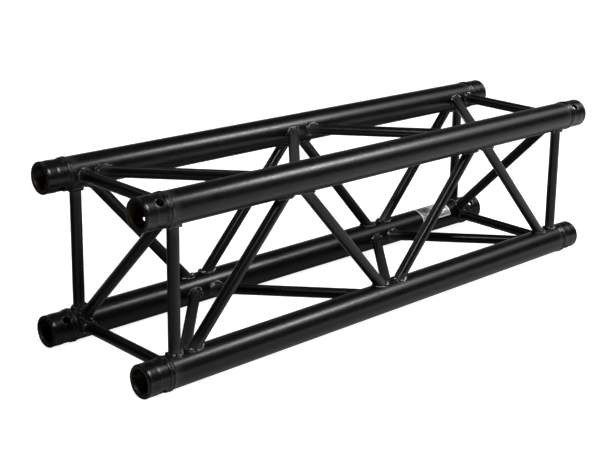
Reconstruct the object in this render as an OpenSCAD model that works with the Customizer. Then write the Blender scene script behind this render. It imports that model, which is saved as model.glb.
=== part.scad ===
// Square box truss section for stage lighting, 290 mm series, with conical coupler receivers.
// +X runs along the section, +Y to the back and +Z up. The origin is on the floor under its centre.

/* [Section] */
// Length over the faces of the receivers
section_length = 1000; // [900:10:1100]
// Distance between the axes of neighbouring chords
chord_spacing = 240; // [225:5:260]

/* [Chord tubes] */
// Outer diameter of a chord tube
chord_d = 50; // [48:1:52]
// Wall of a chord tube
chord_wall = 2; // [1.8:0.1:3]

/* [Lacing tubes] */
// Outer diameter of a diagonal or strut
lacing_d = 18; // [14:1:20]
// Wall of a diagonal or strut
lacing_wall = 2; // [1.5:0.5:3]
// Distance from the end plane to the axis of an end strut
strut_inset = 60; // [58:1:64]
// Distance along the section from an end strut's axis to the outermost node
node_gap = 12; // [8:1:16]

/* [Receivers] */
// Distance from the end plane to the middle of the seam weld
seam_inset = 41; // [40:0.5:44]
// Length of the spigot inside the chord tube, from the shoulder
spigot_length = 26; // [20:1:32]
// Diameter of the conical socket at its mouth
mouth_d = 38; // [36:0.5:38.5]
// Diameter of the conical socket at its inner end
throat_d = 31; // [28:0.5:33]
// Radius of the rounded outer edge of the end face
edge_r = 3; // [2:0.5:3.5]
// Depth of the turned relief band around the pin hole
relief_depth = 0.4; // [0.2:0.1:0.6]

/* [Pin holes] */
// Diameter of the cross hole for the coupler's pin
pin_hole_d = 12; // [10:0.5:13]
// Distance from the end plane to the pin hole's axis
pin_inset = 27; // [26:0.5:28]
// Width of the countersink at each mouth of the hole
countersink = 0.8; // [0.4:0.1:1]

/* [Welds] */
// Gap between chord tube and receiver shoulder that the seam weld fills
seam_gap = 3; // [2:0.5:4]
// Width of the seam weld's cap
seam_width = 12; // [10:0.5:13]
// Height of the seam weld above the chord
seam_height = 1.5; // [1:0.1:2]
// Leg length of the fillet weld around a lacing tube's end
fillet_leg = 3.5; // [2.5:0.5:4.5]

/* [Rating label] */
// Size of the foil label along the chord
label_length = 80; // [60:5:90]
// Size of the foil label around the chord
label_girth = 50; // [40:5:60]
// Distance from the right end plane to the label's near edge
label_inset = 94; // [88:1:100]
// Thickness of the foil
label_thickness = 0.2; // [0.1:0.05:0.4]

/* [Hidden] */
// Every node of the part, in the order of assembly.

$fn = 96;
coating = "#1b1d1b";
foil = "#a9aca6";

// Sides of the section. A chord is named by its level and its depth.
BOTTOM = 0;
TOP = 1;
FRONT = 0;
BACK = 1;
LEFT = -1;
RIGHT = 1;
TOP_FRONT = [TOP, FRONT];
TOP_BACK = [TOP, BACK];
BOTTOM_FRONT = [BOTTOM, FRONT];
BOTTOM_BACK = [BOTTOM, BACK];
CHORDS = [TOP_FRONT, TOP_BACK, BOTTOM_FRONT, BOTTOM_BACK];

// Faces of the truss: the name, the chord with nodes at its middle and ends, and the chord with
// nodes halfway between those.
FACES = [
    ["front", BOTTOM_FRONT, TOP_FRONT],
    ["back", TOP_BACK, BOTTOM_BACK],
    ["top", TOP_BACK, TOP_FRONT],
    ["bottom", BOTTOM_FRONT, BOTTOM_BACK]
];

chord_r = chord_d / 2;
lacing_r = lacing_d / 2;
seam_r = chord_r + seam_height;
shoulder = seam_inset - seam_gap / 2;
chord_end = section_length / 2 - seam_inset - seam_gap / 2;
strut_x = section_length / 2 - strut_inset;
node_pitch = (strut_x - node_gap) / 2;
cut = 1; // how far a cutting shape runs past what it cuts

// Point on a chord's axis, at a place along the section.
function on_chord(chord, x) = [
    x,
    (chord[1] == BACK ? 0.5 : -0.5) * chord_spacing,
    seam_r + (chord[0] == TOP ? chord_spacing : 0)
];

// A lacing tube is given by its two ends, and an end by its chord and its place along the section.
// Diagonals are numbered from the left, and the odd ones start on the face's first chord.
function diagonal_ends(face, number) = let (start = number % 2 == 1 ? 1 : 2) [
    [face[start], (number - 3) * node_pitch],
    [face[3 - start], (number - 2) * node_pitch]
];
function strut_ends(face, side) = [[face[1], side * strut_x], [face[2], side * strut_x]];
function end_brace_ends(side) = [[BOTTOM_BACK, side * strut_x], [TOP_FRONT, side * strut_x]];
function place_of(end) = on_chord(end[0], end[1]);

// Every lacing tube, for the welds.
LACING = concat(
    [for (face = FACES, number = [1:4]) diagonal_ends(face, number)],
    [for (face = FACES, side = [LEFT, RIGHT]) strut_ends(face, side)],
    [for (side = [LEFT, RIGHT]) end_brace_ends(side)]
);

// The axes of the lacing tubes on a chord, each as its point on that chord and its far end.
function axes_on(chord) = [
    for (ends = LACING, near = [0, 1])
        if (ends[near][0] == chord) [place_of(ends[near]), place_of(ends[1 - near])]
];

// Turns and moves its children, so that +Z runs from point a towards point b.
module aim(a, b) {
    v = b - a;
    translate(a)
        rotate([0, acos(v[2] / norm(v)), atan2(v[1], v[0])])
            children();
}

// Puts its children, drawn around +Z, on a chord's axis with +Z towards +X.
module around_chord(chord) {
    translate(on_chord(chord, 0))
        rotate([0, 90, 0])
            children();
}

// Puts its children at one end of a chord: their z = 0 is the end plane, and +Z runs into the section.
module at_chord_end(chord, side) {
    translate(on_chord(chord, side * section_length / 2))
        rotate([0, -side * 90, 0])
            children();
}

// Extruded chord tube, cut square at the seam welds.
module chord_tube(chord) {
    color(coating)
        around_chord(chord)
            difference() {
                cylinder(r = chord_r, h = 2 * chord_end, center = true);
                cylinder(r = chord_r - chord_wall, h = 2 * (chord_end + cut), center = true);
            }
}

// Half outline of a receiver: x is the radius and y the depth from the end plane.
module receiver_outline() {
    relief_start = pin_inset - 9.5;
    relief_end = pin_inset + 7;
    relief_bevel = 0.4;
    mouth_bevel = 1;
    spigot_r = chord_r - chord_wall;
    spigot_bevel = 1;
    spigot_end = shoulder + spigot_length;
    polygon([
        [mouth_d / 2 + mouth_bevel, 0],
        [chord_r - edge_r, 0],
        [chord_r - edge_r, edge_r],
        [chord_r, edge_r],
        [chord_r, relief_start],
        [chord_r - relief_depth, relief_start + relief_bevel],
        [chord_r - relief_depth, relief_end - relief_bevel],
        [chord_r, relief_end],
        [chord_r, shoulder],
        [spigot_r, shoulder],
        [spigot_r, spigot_end - spigot_bevel],
        [spigot_r - spigot_bevel, spigot_end],
        [throat_d / 2, spigot_end],
        [mouth_d / 2, mouth_bevel]
    ]);
    intersection() {
        translate([chord_r - edge_r, edge_r])
            circle(r = edge_r);
        translate([chord_r - edge_r, 0])
            square(edge_r);
    }
}

// Cross hole for the coupler's pin, with a countersink at both mouths. It runs along the diagonal of
// the section's square, so that it points at the opposite chord.
module pin_hole(chord, side) {
    across = side * (chord[0] == chord[1] ? 45 : -45);
    surface = chord_r - relief_depth;
    flare_d = pin_hole_d + 4 * countersink;
    translate([0, 0, pin_inset])
        rotate([0, 0, across])
            rotate([0, 90, 0]) {
                cylinder(d = pin_hole_d, h = 2 * (chord_r + cut), center = true);
                for (way = [0, 180])
                    rotate([way, 0, 0])
                        translate([0, 0, surface - countersink])
                            cylinder(d1 = pin_hole_d, d2 = flare_d, h = 2 * countersink);
            }
}

// Turned receiver with a conical socket, a spigot that fits the chord tube and a cross hole for the pin.
module receiver(chord, side) {
    color(coating)
        at_chord_end(chord, side)
            difference() {
                rotate_extrude()
                    receiver_outline();
                pin_hole(chord, side);
            }
}

// Circumferential weld between chord tube and receiver: a root in the gap and a rounded cap.
module seam_weld(chord, side) {
    cap_r = (seam_width * seam_width / 4 + seam_height * seam_height) / (2 * seam_height);
    color(coating)
        at_chord_end(chord, side)
            rotate_extrude() {
                translate([chord_r - chord_wall, seam_inset - seam_gap / 2])
                    square([chord_wall, seam_gap]);
                intersection() {
                    translate([seam_r - cap_r, seam_inset])
                        circle(r = cap_r);
                    translate([chord_r, seam_inset - seam_width / 2])
                        square([seam_height, seam_width]);
                }
            }
}

// Round tube between two chords, with both ends coped to sit on them.
module lacing_tube(ends) {
    a = place_of(ends[0]);
    b = place_of(ends[1]);
    color(coating)
        difference() {
            aim(a, b)
                difference() {
                    cylinder(r = lacing_r, h = norm(b - a));
                    translate([0, 0, -cut])
                        cylinder(r = lacing_r - lacing_wall, h = norm(b - a) + 2 * cut);
                }
            for (end = ends)
                around_chord(end[0])
                    cylinder(r = chord_r, h = section_length, center = true);
        }
}

// Fillet welds around the ends of all lacing tubes on a chord.
module fillet_welds(chord) {
    color(coating)
        difference() {
            intersection() {
                for (axis = axes_on(chord))
                    aim(axis[0], axis[1])
                        cylinder(r = lacing_r + fillet_leg, h = chord_spacing / 2);
                around_chord(chord)
                    cylinder(r = chord_r + fillet_leg, h = section_length, center = true);
            }
            around_chord(chord)
                cylinder(r = chord_r, h = section_length + cut, center = true);
            for (axis = axes_on(chord))
                aim(axis[0], axis[1])
                    cylinder(r = lacing_r, h = chord_spacing);
        }
}

// Foil label wrapped over the bottom back chord near its right end, from its front to its back.
module rating_label() {
    lower_edge = 16; // angle of the label's front edge above the chord's axis
    wrap = label_girth / chord_r * 180 / PI;
    color(foil)
        translate(on_chord(BOTTOM_BACK, section_length / 2 - label_inset - label_length))
            rotate([0, 90, 0])
                rotate([0, 0, 270 - lower_edge - wrap])
                    rotate_extrude(angle = wrap)
                        translate([chord_r, 0])
                            square([label_thickness, label_length]);
}

function place_name(chord) = str(
    chord[0] == TOP ? "top" : "bottom",
    chord[1] == BACK ? "_back" : "_front"
);
function side_name(side) = side == LEFT ? "_left" : "_right";

for (chord = CHORDS) {
    place = place_name(chord);
    chord_tube(chord);
    fillet_welds(chord);
    for (side = [LEFT, RIGHT]) {
        end = side_name(side);
        receiver(chord, side);
        seam_weld(chord, side);
    }
}
for (face = FACES) {
    for (number = [1:4])
        lacing_tube(diagonal_ends(face, number));
    for (side = [LEFT, RIGHT])
        lacing_tube(strut_ends(face, side));
}
for (side = [LEFT, RIGHT])
    lacing_tube(end_brace_ends(side));
rating_label();
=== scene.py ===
import math

import bpy
import numpy as np
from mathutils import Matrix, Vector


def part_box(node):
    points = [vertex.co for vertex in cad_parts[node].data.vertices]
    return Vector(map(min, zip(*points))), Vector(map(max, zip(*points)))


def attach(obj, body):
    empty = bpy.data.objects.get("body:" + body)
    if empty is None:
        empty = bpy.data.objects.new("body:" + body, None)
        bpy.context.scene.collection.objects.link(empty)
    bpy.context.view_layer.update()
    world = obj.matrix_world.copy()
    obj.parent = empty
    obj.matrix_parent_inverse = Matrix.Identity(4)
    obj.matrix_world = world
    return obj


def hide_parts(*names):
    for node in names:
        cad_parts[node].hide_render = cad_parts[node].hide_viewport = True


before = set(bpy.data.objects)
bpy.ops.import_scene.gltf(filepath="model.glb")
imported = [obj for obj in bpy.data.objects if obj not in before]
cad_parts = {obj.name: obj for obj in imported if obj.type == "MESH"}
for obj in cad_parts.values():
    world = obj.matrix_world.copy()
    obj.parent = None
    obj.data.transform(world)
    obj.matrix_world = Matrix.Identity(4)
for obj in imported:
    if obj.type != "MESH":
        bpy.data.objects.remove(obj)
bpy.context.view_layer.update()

MM = 0.001
SHARP_ANGLE = 35  # degrees between two faces, over which their edge isn't smoothed
CORNER_POINTS = 5  # on each rounded corner of an outline
SIDES = {"left": -1, "right": 1}
LEVELS = ("bottom", "top")
DEPTHS = ("front", "back")
CHORDS = [f"{level}_{depth}" for level in LEVELS for depth in DEPTHS]

# The section, as the CAD model has it.
HALF_LENGTH = 500
CHORD_R = 25
CHORD_BORE_R = 23
SEAM_INSET = 41
SEAM_GAP = 3
STRUT_X = 440
NODE_PITCH = 214
LACING_R = 9
LACING_BORE_R = 7
PIN_INSET = 27
PIN_R = 6

# Details of the finish.
PIN_MOUTH = 23.8  # where the cross hole's countersink starts, from the chord's axis
PIN_CUT = 32  # half the length of the cut, well past the receiver's skin
BARE_SOCKET_R = 19.6  # the coat ends inside this radius and behind this depth
BARE_SOCKET_DEPTH = 0.9
SEAM_HALF_WIDTH = 6
SEAM_RIPPLE = 2.3
FILLET_LEG = 4
FILLET_RIPPLE = 3.3
SINK = 0.1  # how far a weld's edges run below the surfaces it joins


def chord_axis(chord):
    """Point of a chord's axis at the middle of the section."""
    low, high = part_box("chord_" + chord)
    middle = (low + high) / 2
    return np.array([0, middle.y, middle.z]) / MM


AXES = {chord: chord_axis(chord) for chord in CHORDS}


def on_chord(chord, x):
    return AXES[chord] + np.array([x, 0, 0])


# Faces of the truss: the chord with nodes at its middle and ends, and the chord with nodes halfway
# between those.
FACES = {
    "front": ("bottom_front", "top_front"),
    "back": ("top_back", "bottom_back"),
    "top": ("top_back", "top_front"),
    "bottom": ("bottom_front", "bottom_back"),
}


def lacing_ends():
    """Every lacing tube's name and two ends, each a chord and a place along the section."""
    tubes = {}
    for face, chords in FACES.items():
        for number in range(1, 5):
            first, second = chords if number % 2 else chords[::-1]
            start = (number - 3) * NODE_PITCH
            tubes[f"diagonal_{face}_{number}"] = ((first, start), (second, start + NODE_PITCH))
        for side, way in SIDES.items():
            tubes[f"strut_{face}_{side}"] = ((chords[0], way * STRUT_X), (chords[1], way * STRUT_X))
    for side, way in SIDES.items():
        tubes[f"end_brace_{side}"] = (("bottom_back", way * STRUT_X), ("top_front", way * STRUT_X))
    return tubes


LACING = lacing_ends()


# ---- meshes ----

def grid_faces(rows, columns):
    """Quads between the points of a grid that closes on itself both ways, row by row."""
    i, j = np.indices((rows, columns)).reshape(2, -1)
    i2 = (i + 1) % rows
    j2 = (j + 1) % columns
    return np.stack([i * columns + j, i * columns + j2, i2 * columns + j2, i2 * columns + j], 1)


def facing_out(points, faces):
    """The quads around a volume, turned round if they face inwards."""
    middle = points.mean(0)
    a, b, c, d = (points[faces[:, k]] - middle for k in range(4))
    halves = np.einsum("ij,ij->i", a, np.cross(b, c)) + np.einsum("ij,ij->i", a, np.cross(c, d))
    return faces if halves.sum() > 0 else faces[:, ::-1]


def torus(points):
    """A closed solid from a grid of points, rows by columns, that wraps both ways."""
    flat = points.reshape(-1, 3)
    return flat, facing_out(flat, grid_faces(*points.shape[:2]))


def lid(ring):
    """Quads that close a flat ring of points, each from one half of it across to the other."""
    half = len(ring) // 2
    near = ring[:half]
    far = ring[:half - 1:-1]
    return np.stack([near[:-1], near[1:], far[1:], far[:-1]], 1)


def spindle(points):
    """A closed solid from rings of points, rows by columns, with a flat face across each end."""
    rows, columns = points.shape[:2]
    flat = points.reshape(-1, 3)
    sides = grid_faces(rows, columns)[:-columns]
    first = np.arange(columns)
    last = first + (rows - 1) * columns
    return flat, facing_out(flat, np.concatenate([sides, lid(first[::-1]), lid(last)]))


def joined(solids):
    """Several solids as one list of points and one of faces."""
    counts = np.cumsum([0] + [len(points) for points, _ in solids])
    points = np.concatenate([points for points, _ in solids])
    faces = np.concatenate([faces + start for (_, faces), start in zip(solids, counts)])
    return points, faces


def make_mesh(name, solid):
    """A smooth mesh in metres, which keeps its sharp edges."""
    points, faces = solid
    mesh = bpy.data.meshes.new(name)
    mesh.from_pydata((points * MM).tolist(), [], faces.tolist())
    mesh.polygons.foreach_set("use_smooth", [True] * len(faces))
    mesh.set_sharp_from_angle(angle=math.radians(SHARP_ANGLE))
    mesh.update()
    return mesh


def put(name, mesh, materials, slot, *nodes):
    """Shows a mesh in place of CAD nodes, on the part's one body."""
    piece = bpy.data.objects.new(name, mesh)
    bpy.context.scene.collection.objects.link(piece)
    for material in materials:
        mesh.materials.append(material)
    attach(piece, "root")
    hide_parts(*nodes)


def ring_angles(count):
    return np.arange(count) * 2 * math.pi / count


def turned(depths, radii, angles):
    """Grid of points of a body turned around +X: a row for each profile point."""
    shape = np.broadcast_shapes(np.shape(depths), np.shape(radii), (1, len(angles)))
    x = np.broadcast_to(depths, shape)
    r = np.broadcast_to(radii, shape)
    return np.stack([x, r * np.sin(angles), r * np.cos(angles)], -1)


def rounded(corners):
    """A closed outline of (x, y, radius) corners with each corner rounded to its radius."""
    points = []
    for k, (x, y, radius) in enumerate(corners):
        here = np.array([x, y], float)
        before = np.array(corners[k - 1][:2]) - here
        after = np.array(corners[(k + 1) % len(corners)][:2]) - here
        before /= np.linalg.norm(before)
        after /= np.linalg.norm(after)
        half = math.acos(np.clip(before @ after, -1, 1)) / 2
        if radius == 0:
            points.append(here)
            continue
        centre = here + (before + after) / np.linalg.norm(before + after) * radius / math.sin(half)
        start = here + before * radius / math.tan(half) - centre
        stop = here + after * radius / math.tan(half) - centre
        sweep = math.pi - 2 * half
        for s in np.linspace(0, 1, CORNER_POINTS):
            weights = math.sin((1 - s) * sweep), math.sin(s * sweep)
            points.append(centre + (weights[0] * start + weights[1] * stop) / math.sin(sweep))
    return np.array(points)


def wobble(angles, random, lowest, highest):
    """Smooth noise of about unit size around a ring, from waves of a few whole numbers."""
    waves = range(lowest, highest + 1)
    total = np.zeros_like(angles)
    for k in waves:
        total += random.normal() * np.cos(k * angles + random.uniform(0, 2 * math.pi))
    return total / math.sqrt(len(waves) / 2)


# ---- chords ----

def chord_solid():
    end = HALF_LENGTH - SEAM_INSET - SEAM_GAP / 2
    runs = np.linspace(-end, end, 49)
    depths = np.concatenate([runs, runs[::-1]])
    radii = np.concatenate([np.full(len(runs), CHORD_R), np.full(len(runs), CHORD_BORE_R)])
    return torus(turned(depths[:, None], radii[:, None], ring_angles(160)))


# ---- receivers ----

RECEIVER_OUTLINE = [
    # depth from the end plane, radius, corner radius
    (0, 20, 0.4), (0, 25, 2.7), (3.4, 25, 1), (6.4, 24.62, 2), (13.5, 24.8, 8), (18.8, 25, 1.2),
    (22, 24.55, 2), (33.2, 24.55, 0.6), (34, 24.85, 0.6), (39.5, 24.9, 0.2), (39.5, 23, 0.2),
    (64.5, 23, 0.3), (65.5, 22, 0.3), (65.5, 15.5, 0.3), (1, 19, 0.5),
]


def receiver_solid():
    outline = rounded(RECEIVER_OUTLINE)
    return torus(turned(outline[:, :1], outline[:, 1:], ring_angles(192)))


def pin_cutter():
    """The cross hole along local Z, with a countersink at both mouths."""
    heights = np.array([-PIN_CUT, -PIN_MOUTH, PIN_MOUTH, PIN_CUT])
    wide = PIN_R + PIN_CUT - PIN_MOUTH
    radii = np.array([wide, PIN_R, PIN_R, wide])
    points, faces = spindle(turned(heights[:, None], radii[:, None], ring_angles(96)))
    return points[:, [2, 1, 0]] * [1, -1, 1] + [PIN_INSET, 0, 0], faces


def cut(mesh, cutter):
    """The mesh with another one taken away."""
    whole = bpy.data.objects.new("whole", mesh)
    tool = bpy.data.objects.new("tool", cutter)
    for thing in (whole, tool):
        bpy.context.scene.collection.objects.link(thing)
    modifier = whole.modifiers.new("cut", "BOOLEAN")
    modifier.operation = "DIFFERENCE"
    modifier.solver = "EXACT"
    modifier.object = tool
    graph = bpy.context.evaluated_depsgraph_get()
    result = bpy.data.meshes.new_from_object(whole.evaluated_get(graph))
    for thing in (whole, tool):
        bpy.data.objects.remove(thing)
    return result


def receiver_mesh():
    """One receiver: depth along +X and the pin hole along Z. Its socket has the second material."""
    mesh = cut(make_mesh("receiver", receiver_solid()), make_mesh("pin", pin_cutter()))
    for face in mesh.polygons:
        centre = face.center / MM
        radius = math.hypot(centre.y, centre.z)
        face.material_index = int(radius < BARE_SOCKET_R and centre.x > BARE_SOCKET_DEPTH)
    return mesh


def placed(name, source, chord, side):
    """A copy of a mesh that was made at the origin, at one end of a chord, its Z pointing outwards."""
    mesh = source.copy()
    mesh.name = name
    axis = AXES[chord]
    centre = np.mean(list(AXES.values()), 0)
    outward = (axis - centre)[1:]
    outward /= np.linalg.norm(outward)
    points = np.zeros(len(mesh.vertices) * 3)
    mesh.vertices.foreach_get("co", points)
    x, y, z = points.reshape(-1, 3).T
    way = SIDES[side]
    out = np.stack([
        way * (HALF_LENGTH * MM - x),
        axis[1] * MM + z * outward[0] + way * y * outward[1],
        axis[2] * MM + z * outward[1] - way * y * outward[0],
    ], 1)
    mesh.vertices.foreach_set("co", out.ravel())
    mesh.flip_normals()  # the placing above mirrors the mesh, which turns its faces inwards
    mesh.update()
    return mesh


# ---- welds ----

SEAM_PROFILE = np.array([
    # distance from the bead's middle towards the section, and height over the chord
    (-6, 0), (-5.3, 0.55), (-4.5, 0.95), (-3.7, 0.95), (-2.6, 0.6), (-1.5, 0.3), (-0.7, 0.45),
    (0.2, 1.0), (1.1, 1.38), (1.9, 1.42), (2.9, 1.15), (4.1, 0.6), (5.2, 0.2), (6, 0),
])


def seam_solid(random):
    """Weld bead around the joint of a chord and a receiver, with its root in the gap between them."""
    angles = ring_angles(288)
    across = np.linspace(-SEAM_HALF_WIDTH, SEAM_HALF_WIDTH, 33)[:, None]
    ripples = round(2 * math.pi * CHORD_R / SEAM_RIPPLE)
    height = np.interp(across, SEAM_PROFILE[:, 0], SEAM_PROFILE[:, 1])
    height = height * (1 + 0.05 * wobble(angles, random, 2, 9))
    shape = np.clip(1 - (across / 5) ** 2, 0, 1)
    bow = 1.1 * (across / SEAM_HALF_WIDTH) ** 2
    phase = ripples / 2 * angles + bow + 0.35 * wobble(angles, random, 3, 8)
    height = height + 0.26 * shape * (np.abs(np.cos(phase)) - 0.75)
    drift = 0.16 * wobble(angles, random, 2, 11)
    depths = SEAM_INSET + across * 0.97 + drift * (1 - np.abs(across) / (2 * SEAM_HALF_WIDTH))
    radii = CHORD_R + np.clip(height, -SINK, 1.49)
    radii[[0, -1]] = CHORD_R - SINK
    deep = SEAM_INSET + SEAM_GAP / 2
    shallow = SEAM_INSET - SEAM_GAP / 2
    skin = CHORD_R - SINK
    root = np.array([(deep, skin), (deep, CHORD_BORE_R), (shallow, CHORD_BORE_R), (shallow, skin)])
    flat = np.ones_like(angles)
    depths = np.concatenate([depths, root[:, :1] * flat])
    radii = np.concatenate([radii, root[:, 1:] * flat])
    return torus(turned(depths, radii, angles))


def tube_frame(ends):
    """Start, direction, length and two cross directions of a lacing tube."""
    a, b = (on_chord(*end) for end in ends)
    length = np.linalg.norm(b - a)
    along = (b - a) / length
    u = np.cross(along, [1, 0, 0])
    u /= np.linalg.norm(u)
    return a, along, length, u, np.cross(along, u)


def reach(along, offsets):
    """How far along its axis each line at an offset from a tube's axis leaves the chord."""
    d = along[1:]
    w = offsets[:, 1:]
    dd = d @ d
    dw = w @ d
    ww = (w * w).sum(1)
    return (-dw + np.sqrt(dw * dw - dd * (ww - CHORD_R ** 2))) / dd


def lacing_solid(ends):
    """Tube between two chords, coped at both ends."""
    a, along, length, u, v = tube_frame(ends)
    angles = ring_angles(72)
    around = np.cos(angles)[:, None] * u + np.sin(angles)[:, None] * v
    rows = []
    for radius, steps in ((LACING_R, np.linspace(0, 1, 13)), (LACING_BORE_R, np.linspace(1, 0, 13))):
        offsets = radius * around
        start = reach(along, offsets)
        stop = length - reach(-along, offsets)
        rows += [a + offsets + ((1 - s) * start + s * stop)[:, None] * along for s in steps]
    return torus(np.array(rows))


def fillet_solid(ends, random):
    """Weld bead around a lacing tube where it meets the chord of its first end."""
    a, along, _, u, v = tube_frame(ends)
    angles = ring_angles(208)
    around = np.cos(angles)[:, None] * u + np.sin(angles)[:, None] * v
    uneven = 1 + 0.08 * wobble(angles, random, 2, 6)
    lumpy = 1 + 0.35 * wobble(angles, random, 3, 9)
    lump_at = random.uniform(0, 2 * math.pi)
    lump = np.exp(-((np.angle(np.exp(1j * (angles - lump_at))) / 0.22) ** 2))

    def surface(radius, rise):
        offsets = radius[:, None] * around
        return a + offsets + (reach(along, offsets) + rise)[:, None] * along

    ones = np.ones_like(angles)
    leg = np.clip(FILLET_LEG * 0.9 * uneven, 0, FILLET_LEG)
    root = surface(LACING_R * ones - SINK, -SINK * ones)
    toe = surface(LACING_R + leg, -SINK * ones)
    top = surface(LACING_R * ones - SINK, FILLET_LEG * (0.95 + 0.1 * wobble(angles, random, 2, 7)))
    out = (toe + top) / 2 - root
    out /= np.linalg.norm(out, axis=1)[:, None]
    middle = (toe + top) / 2
    steps = np.linalg.norm(np.roll(middle, -1, 0) - middle, axis=1)
    run = np.concatenate([[0], np.cumsum(steps)[:-1]]) / steps.sum()
    ripples = round(steps.sum() / FILLET_RIPPLE)
    rows = [root]
    for s in np.linspace(0, 1, 11):
        crown = (4 * s * (1 - s)) ** 0.7
        phase = math.pi * ripples * run - 1.2 * crown + 0.3 * wobble(angles, random, 3, 7)
        ripple = 0.8 * (np.abs(np.cos(phase)) - 0.6)
        bulge = crown * (1.6 * lumpy + 0.7 * lump + ripple)
        rows.append((1 - s) * toe + s * top + bulge[:, None] * out)
    return torus(np.array(rows))


# ---- label ----

LABEL_START = 326
LABEL_LENGTH = 80
LABEL_GIRTH = 50
LABEL_LOW_EDGE = 16  # degrees up round the chord from its front side
LABEL_RIM = 2.2
EMBLEM_FIELD = 34  # the label's length that the rings have
EMBLEM_MIDDLE = (18, 22)
EMBLEM_SQUASH = 0.9
EMBLEM_DOT_R = 7
EMBLEM_RING_R = (10, 13.5)
RULE = (36, 38)  # a bar across the label, between the rings and the lines
PRINT_START = 42  # left edge of the dark block and of the lines below it
BLOCK_END = 70
BLOCK_LOW = 36
LINES = (6, 34)
LINE_PITCH = 4
LINE_END = 72  # right edge of the longest line
FOIL = 0.2
FOIL_GROUND, FOIL_BORDER, FOIL_PRINT = range(3)


def label_ink(u, v):
    """Which finish the label has at a place: u runs along it from its left edge, v up from its front."""
    if min(u, LABEL_LENGTH - u, v, LABEL_GIRTH - v) < LABEL_RIM:
        return FOIL_BORDER
    if u < EMBLEM_FIELD:
        away = math.hypot(u - EMBLEM_MIDDLE[0], (v - EMBLEM_MIDDLE[1]) * EMBLEM_SQUASH)
        if away < EMBLEM_DOT_R or EMBLEM_RING_R[0] < away < EMBLEM_RING_R[1]:
            return FOIL_PRINT
        return FOIL_GROUND
    if RULE[0] < u < RULE[1]:
        return FOIL_BORDER
    if u > PRINT_START and v > BLOCK_LOW:
        return FOIL_PRINT if u < BLOCK_END else FOIL_GROUND
    if u > PRINT_START and LINES[0] < v < LINES[1] and int(v) % LINE_PITCH < LINE_PITCH / 2:
        shorter = 5 * (int(v / LINE_PITCH) % 3)
        return FOIL_BORDER if u < LINE_END - shorter else FOIL_GROUND
    return FOIL_GROUND


def label_mesh():
    """Foil wrapped over the chord: an outer skin in cells of one millimetre and a plain back."""
    columns = LABEL_LENGTH
    rows = LABEL_GIRTH
    x = LABEL_START + np.linspace(0, LABEL_LENGTH, columns + 1)
    angle = math.radians(LABEL_LOW_EDGE) + np.linspace(0, LABEL_GIRTH / CHORD_R, rows + 1)
    axis = AXES["bottom_back"]
    skins = []
    for radius in (CHORD_R + FOIL, CHORD_R):
        points = np.zeros((rows + 1, columns + 1, 3))
        points[..., 0] = x
        points[..., 1] = (axis[1] - radius * np.cos(angle))[:, None]
        points[..., 2] = (axis[2] + radius * np.sin(angle))[:, None]
        skins.append(points.reshape(-1, 3))
    index = np.arange((rows + 1) * (columns + 1)).reshape(rows + 1, columns + 1)
    quads = np.stack([index[:-1, :-1], index[:-1, 1:], index[1:, 1:], index[1:, :-1]], -1)
    quads = quads.reshape(-1, 4)
    rim = np.concatenate([index[0, :-1], index[:-1, -1], index[-1, :0:-1], index[:0:-1, 0]])
    after = np.roll(rim, -1)
    base = index.size
    sides = np.stack([rim, rim + base, after + base, after], 1)
    faces = np.concatenate([quads, quads[:, ::-1] + base, sides])
    mesh = make_mesh("rating_label", (np.concatenate(skins), faces))
    inks = [label_ink(i % columns + 0.5, i // columns + 0.5) for i in range(rows * columns)]
    inks += [FOIL_GROUND] * (len(faces) - len(inks))
    mesh.polygons.foreach_set("material_index", inks)
    return mesh


# ---- materials ----

class Nodes:
    """A material's node tree, with a few short ways to add to it."""

    def __init__(self, material):
        material.use_nodes = True
        self.tree = material.node_tree
        self.shader = self.tree.nodes["Principled BSDF"]
        self.place = self.add("ShaderNodeTexCoord").outputs["Object"]

    def add(self, kind, **settings):
        node = self.tree.nodes.new(kind)
        for key, value in settings.items():
            setattr(node, key, value)
        return node

    def link(self, output, target):
        self.tree.links.new(output, target)

    def noise(self, scale, detail=2.0, roughness=0.5):
        """Noise with features of about 1 / scale metres, between 0 and 1."""
        node = self.add("ShaderNodeTexNoise")
        node.inputs["Scale"].default_value = scale
        node.inputs["Detail"].default_value = detail
        node.inputs["Roughness"].default_value = roughness
        self.link(self.place, node.inputs["Vector"])
        return node.outputs["Fac"]

    def spread(self, value, low, high, start=0.3, stop=0.7):
        """Value from start to stop mapped to low to high."""
        node = self.add("ShaderNodeMapRange")
        for name, number in zip(("From Min", "From Max", "To Min", "To Max"), (start, stop, low, high)):
            node.inputs[name].default_value = number
        self.link(value, node.inputs["Value"])
        return node.outputs["Result"]

    def mix(self, factor, a, b):
        """Colour a where the factor is 0 and b where it is 1. Either is a colour or an output."""
        node = self.add("ShaderNodeMix", data_type="RGBA")
        self.link(factor, node.inputs["Factor"])
        for value, name in ((a, "A"), (b, "B")):
            socket = [s for s in node.inputs if s.name == name and s.type == "RGBA"][0]
            if isinstance(value, tuple):
                socket.default_value = (*value, 1)
            else:
                self.link(value, socket)
        return [s for s in node.outputs if s.type == "RGBA"][0]

    def bump(self, height, metres, under=None):
        node = self.add("ShaderNodeBump")
        node.inputs["Distance"].default_value = metres
        node.inputs["Strength"].default_value = 1
        self.link(height, node.inputs["Height"])
        if under:
            self.link(under, node.inputs["Normal"])
        return node.outputs["Normal"]


COAT = (0.0017, 0.0021, 0.0018)
DUST = (0.03, 0.03, 0.029)
# Grey of the convex edges: partly rubbed coat, partly a painted highlight.
RUBBED_AND_HIGHLIGHT = (0.045, 0.045, 0.043)


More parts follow.
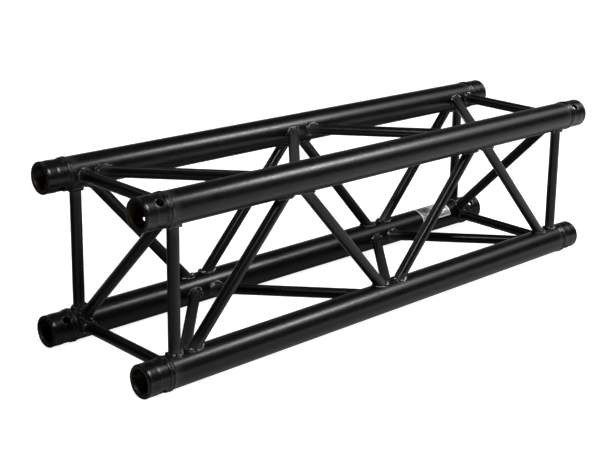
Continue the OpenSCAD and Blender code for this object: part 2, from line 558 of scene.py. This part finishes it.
def powder_coat(name, roughness, peel, gloss):
    """Black satin powder coat: orange peel, fine grain, faint dust, and lighter edges: rubbed coat and
    painted highlight.
    """
    material = bpy.data.materials.new(name)
    n = Nodes(material)
    patches = n.noise(22, 4, 0.6)
    speck = n.noise(900, 2, 0.6)
    edge = n.add("ShaderNodeNewGeometry").outputs["Pointiness"]
    dark = tuple(0.75 * c for c in COAT)
    colour = n.mix(n.spread(patches, 0, 1), dark, COAT)
    colour = n.mix(n.spread(speck, 0, 0.2, 0.62, 0.8), colour, DUST)
    # Convex edges turn lighter: rubbed coat, and a painted highlight along the edges.
    colour = n.mix(n.spread(edge, 0, 0.5, 0.53, 0.62), colour, RUBBED_AND_HIGHLIGHT)
    n.link(colour, n.shader.inputs["Base Color"])
    rough = n.spread(n.noise(60, 5, 0.6), roughness - 0.035, roughness + 0.035)
    n.link(rough, n.shader.inputs["Roughness"])
    n.shader.inputs["Specular IOR Level"].default_value = gloss
    normal = n.bump(n.noise(420, 3, 0.45), peel)
    normal = n.bump(n.noise(3500, 2), 0.000006, normal)
    n.link(normal, n.shader.inputs["Normal"])
    return material


def machined(name):
    """Turned aluminium of the conical socket, in a dark brown."""
    material = bpy.data.materials.new(name)
    n = Nodes(material)
    colour = n.mix(n.spread(n.noise(70, 4, 0.65), 0, 1), (0.034, 0.025, 0.018), (0.068, 0.051, 0.038))
    n.link(colour, n.shader.inputs["Base Color"])
    n.shader.inputs["Metallic"].default_value = 0.9
    n.link(n.spread(n.noise(300, 4, 0.6), 0.36, 0.46), n.shader.inputs["Roughness"])
    turns = n.add("ShaderNodeTexWave", wave_type="BANDS", bands_direction="X", wave_profile="SAW")
    turns.inputs["Scale"].default_value = 260
    turns.inputs["Distortion"].default_value = 0.6
    n.link(n.place, turns.inputs["Vector"])
    n.link(n.bump(turns.outputs["Fac"], 0.00002), n.shader.inputs["Normal"])
    return material


def foil(name, dark, light, metallic, roughness):
    """A printed or bare part of the label's foil, slightly creased."""
    material = bpy.data.materials.new(name)
    n = Nodes(material)
    n.link(n.mix(n.spread(n.noise(120, 4, 0.6), 0, 1), dark, light), n.shader.inputs["Base Color"])
    n.shader.inputs["Metallic"].default_value = metallic
    n.link(n.spread(n.noise(400, 3), roughness - 0.05, roughness + 0.08), n.shader.inputs["Roughness"])
    n.link(n.bump(n.noise(90, 3, 0.5), 0.0001), n.shader.inputs["Normal"])
    return material


chord_coat = powder_coat("chord_coat", 0.30, 0.00003, 0.14)
lacing_coat = powder_coat("lacing_coat", 0.30, 0.00003, 0.14)
receiver_coat = powder_coat("receiver_coat", 0.29, 0.00002, 0.16)
weld_coat = powder_coat("weld_coat", 0.19, 0.00008, 0.4)
seam_coat = powder_coat("seam_coat", 0.26, 0.00005, 0.17)
socket_metal = machined("socket_metal")
foil_finishes = [
    foil("foil_ground", (0.16, 0.16, 0.155), (0.24, 0.24, 0.23), 0.35, 0.4),
    foil("foil_border", (0.55, 0.55, 0.53), (0.68, 0.68, 0.66), 0.2, 0.4),
    foil("foil_print", (0.02, 0.02, 0.02), (0.035, 0.035, 0.035), 0.0, 0.45),
]


# ---- the object ----

random = np.random.default_rng(20)
chord_at_origin = chord_solid()
receiver_at_origin = receiver_mesh()
for chord in CHORDS:
    points, faces = chord_at_origin
    tube = make_mesh("tube_" + chord, (points + AXES[chord], faces))
    put("tube_" + chord, tube, [chord_coat], "chord_coating", "chord_" + chord)
    for side in SIDES:
        corner = f"{chord}_{side}"
        end = placed("coupler_end_" + corner, receiver_at_origin, chord, side)
        finishes = [receiver_coat, socket_metal]
        put("coupler_end_" + corner, end, finishes, "receiver_coating", "receiver_" + corner)
        bead = placed("seam_bead_" + corner, make_mesh("seam", seam_solid(random)), chord, side)
        put("seam_bead_" + corner, bead, [seam_coat], "weld_coating", "seam_weld_" + corner)
    beads = []
    for ends in LACING.values():
        for near, far in (ends, ends[::-1]):
            if near[0] == chord:
                beads.append(fillet_solid((near, far), random))
    mesh = make_mesh("brace_beads_" + chord, joined(beads))
    put("brace_beads_" + chord, mesh, [weld_coat], "weld_coating", "fillet_welds_" + chord)
for name, ends in LACING.items():
    mesh = make_mesh("brace_" + name, lacing_solid(ends))
    put("brace_" + name, mesh, [lacing_coat], "lacing_coating", name)
put("foil_label", label_mesh(), foil_finishes, "label_foil", "rating_label")


# ---- studio ----

STAGE_RADIUS = 14
CARD_HEIGHT = 0.0004


def web(name, middle, rings):
    """A sheet with a point in its middle and rings of points around that, each with as many."""
    count = len(rings[0])
    points = [middle, *(point for ring in rings for point in ring)]
    faces = [(0, 1 + (k + 1) % count, 1 + k) for k in range(count)]
    for start in range(1, len(points) - count, count):
        for k in range(count):
            after = (k + 1) % count
            faces.append((start + k, start + after, start + count + after, start + count + k))
    mesh = bpy.data.meshes.new(name)
    mesh.from_pydata(points, [], faces)
    return mesh


def set_stage(name, mesh, shade, unseen_by=()):
    """Puts a mesh on the stage, in a matt grey that can glow white. Rays of the kinds named miss it."""
    piece = bpy.data.objects.new(name, mesh)
    bpy.context.scene.collection.objects.link(piece)
    for kind in unseen_by:
        setattr(piece, "visible_" + kind, False)
    material = bpy.data.materials.new(name)
    mesh.materials.append(material)
    n = Nodes(material)
    n.shader.inputs["Base Color"].default_value = (shade, shade, shade, 1)
    n.shader.inputs["Roughness"].default_value = 1
    n.shader.inputs["Specular IOR Level"].default_value = 0
    n.shader.inputs["Emission Color"].default_value = (1, 1, 1, 1)
    return n


def make_floor():
    """Pale floor. It glows, more so away from the object, so that it stays white to its edge."""
    angles = ring_angles(96)
    radii = (0.3, 0.8, 1.6, 3, STAGE_RADIUS)
    rings = [[(r * math.sin(a), r * math.cos(a), 0) for a in angles] for r in radii]
    n = set_stage("floor", web("floor", (0, 0, 0), rings), 0.5)
    distance = n.add("ShaderNodeVectorMath", operation="LENGTH")
    n.link(n.place, distance.inputs[0])
    glow = n.spread(distance.outputs["Value"], 0.9, 1.0, 0.6, 2.5)
    n.link(glow, n.shader.inputs["Emission Strength"])


def make_backdrop():
    """White dome behind everything. Only cameras see it, so the coat doesn't mirror it."""
    rings = []
    for slope in np.radians(np.arange(10, 91, 10)):
        out = STAGE_RADIUS * math.sin(slope)
        height = STAGE_RADIUS * math.cos(slope)
        rings.append([(out * math.cos(a), out * math.sin(a), height) for a in ring_angles(64)])
    dome = web("backdrop", (0, 0, STAGE_RADIUS), rings)
    n = set_stage("backdrop", dome, 0, unseen_by=("diffuse", "glossy", "shadow"))
    n.shader.inputs["Emission Strength"].default_value = 1


def make_card(name, low, high, glow):
    """Card on the floor, which stands in for the floor's own shading in the coat's reflections. Its
    glow is a list of places in Y with a strength each. Cameras don't see it, and it casts no shadow."""
    corners = [(low[0], low[1]), (high[0], low[1]), (high[0], high[1]), (low[0], high[1])]
    mesh = bpy.data.meshes.new(name)
    mesh.from_pydata([(x, y, CARD_HEIGHT) for x, y in corners], [], [(0, 1, 2, 3)])
    n = set_stage(name, mesh, 0, unseen_by=("camera", "shadow"))
    split = n.add("ShaderNodeSeparateXYZ")
    n.link(n.place, split.inputs["Vector"])
    first = glow[0][0]
    last = glow[-1][0]
    ramp = n.add("ShaderNodeValToRGB")
    stops = ramp.color_ramp.elements
    while len(stops) < len(glow):
        stops.new(0.5)
    for stop, (spot, strength) in zip(stops, glow):
        stop.position = (spot - first) / (last - first)
        stop.color = (strength, strength, strength, 1)
    n.link(n.spread(split.outputs["Y"], 0, 1, first, last), ramp.inputs["Fac"])
    n.link(ramp.outputs["Color"], n.shader.inputs["Emission Strength"])


# Glow of the floor by its place in Y: under the section it is dark where a chord shades it, and to the
# left it darkens towards the back.
FLOOR_UNDER = [
    (-0.2, 1.1), (-0.15, 0.9), (-0.13, 0.2), (-0.105, 0.12), (-0.085, 0.22), (0, 0.32), (0.085, 0.42),
    (0.105, 0.05), (0.15, 0.04), (0.2, 0.15), (0.5, 0.25),
]
FLOOR_LEFT = [(-0.5, 0.9), (-0.15, 0.75), (0.1, 0.12), (3, 0.1)]


def make_world():
    """Surroundings that are pale at the horizon and behind the section, and dark above."""
    world = bpy.data.worlds.new("studio")
    bpy.context.scene.world = world
    world.use_nodes = True
    nodes = world.node_tree.nodes
    links = world.node_tree.links
    place = nodes.new("ShaderNodeTexCoord").outputs["Generated"]

    def fade(direction, start, stop, strength):
        """Light that is dim where a view's share along a direction is under start and full over stop."""
        share = nodes.new("ShaderNodeVectorMath")
        share.operation = "DOT_PRODUCT"
        share.inputs[1].default_value = direction
        links.new(place, share.inputs[0])
        ramp = nodes.new("ShaderNodeMapRange")
        ramp.inputs["From Min"].default_value = start
        ramp.inputs["From Max"].default_value = stop
        ramp.inputs["To Min"].default_value = 0.02
        ramp.inputs["To Max"].default_value = strength
        links.new(share.outputs["Value"], ramp.inputs["Value"])
        return ramp.outputs["Result"]

    horizon = fade((0, 0, -1), -0.12, -0.02, 0.25)
    backdrop = fade((0.7, 0.7, -1.3), 0.15, 0.5, 0.25)
    both = nodes.new("ShaderNodeMath")
    both.operation = "MAXIMUM"
    links.new(horizon, both.inputs[0])
    links.new(backdrop, both.inputs[1])
    background = nodes["Background"]
    background.inputs["Color"].default_value = (1, 1, 1, 1)
    links.new(both.outputs[0], background.inputs["Strength"])


def area_light(name, place, target, size, power):
    """A soft rectangular lamp that points at its target."""
    light = bpy.data.lights.new(name, "AREA")
    light.shape = "RECTANGLE"
    light.size, light.size_y = size
    light.energy = power
    lamp = bpy.data.objects.new(name, light)
    bpy.context.scene.collection.objects.link(lamp)
    lamp.location = place
    away = lamp.location - Vector(target)
    lamp.rotation_mode = "QUATERNION"
    lamp.rotation_quaternion = away.to_track_quat("Z", "Y")


def make_camera():
    """Camera at the photograph's viewing angle."""
    data = bpy.data.cameras.new("camera")
    data.sensor_width = 36
    data.lens = 73.57
    data.shift_x = -0.10398
    data.shift_y = -0.1199
    data.clip_start = 0.01
    data.clip_end = 100
    camera = bpy.data.objects.new("camera", data)
    bpy.context.scene.collection.objects.link(camera)
    camera.location = (-1.42448, -1.43996, 0.7675)
    camera.rotation_euler = [math.radians(degrees) for degrees in (75.64695, -1.4851, -45.59601)]
    bpy.context.scene.camera = camera


make_floor()
make_backdrop()
make_card("floor_under", (-0.52, -0.2), (0.9, 0.5), FLOOR_UNDER)
make_card("floor_left", (-4, -0.5), (-0.52, 3), FLOOR_LEFT)
make_world()
LEFT_OF_MIDDLE = (-0.05, 0, 0.15)
MIDDLE = (0, 0, 0.15)
area_light("key", (0.94, -0.70, 1.48), LEFT_OF_MIDDLE, (0.36, 0.49), 34)
area_light("side", (1.65, -0.77, 1.50), LEFT_OF_MIDDLE, (1.32, 0.83), 14.5)
area_light("front", (-0.73, -1.0, 1.48), MIDDLE, (0.12, 0.12), 17)
area_light("rear", (-0.3, 0.5, 2.0), MIDDLE, (1.0, 0.6), 5)
area_light("back", (-0.9, 1.3, 1.9), MIDDLE, (0.8, 0.5), 6)
make_camera()
bpy.context.scene.view_settings.view_transform = "Standard"
bpy.context.scene.view_settings.look = "None"
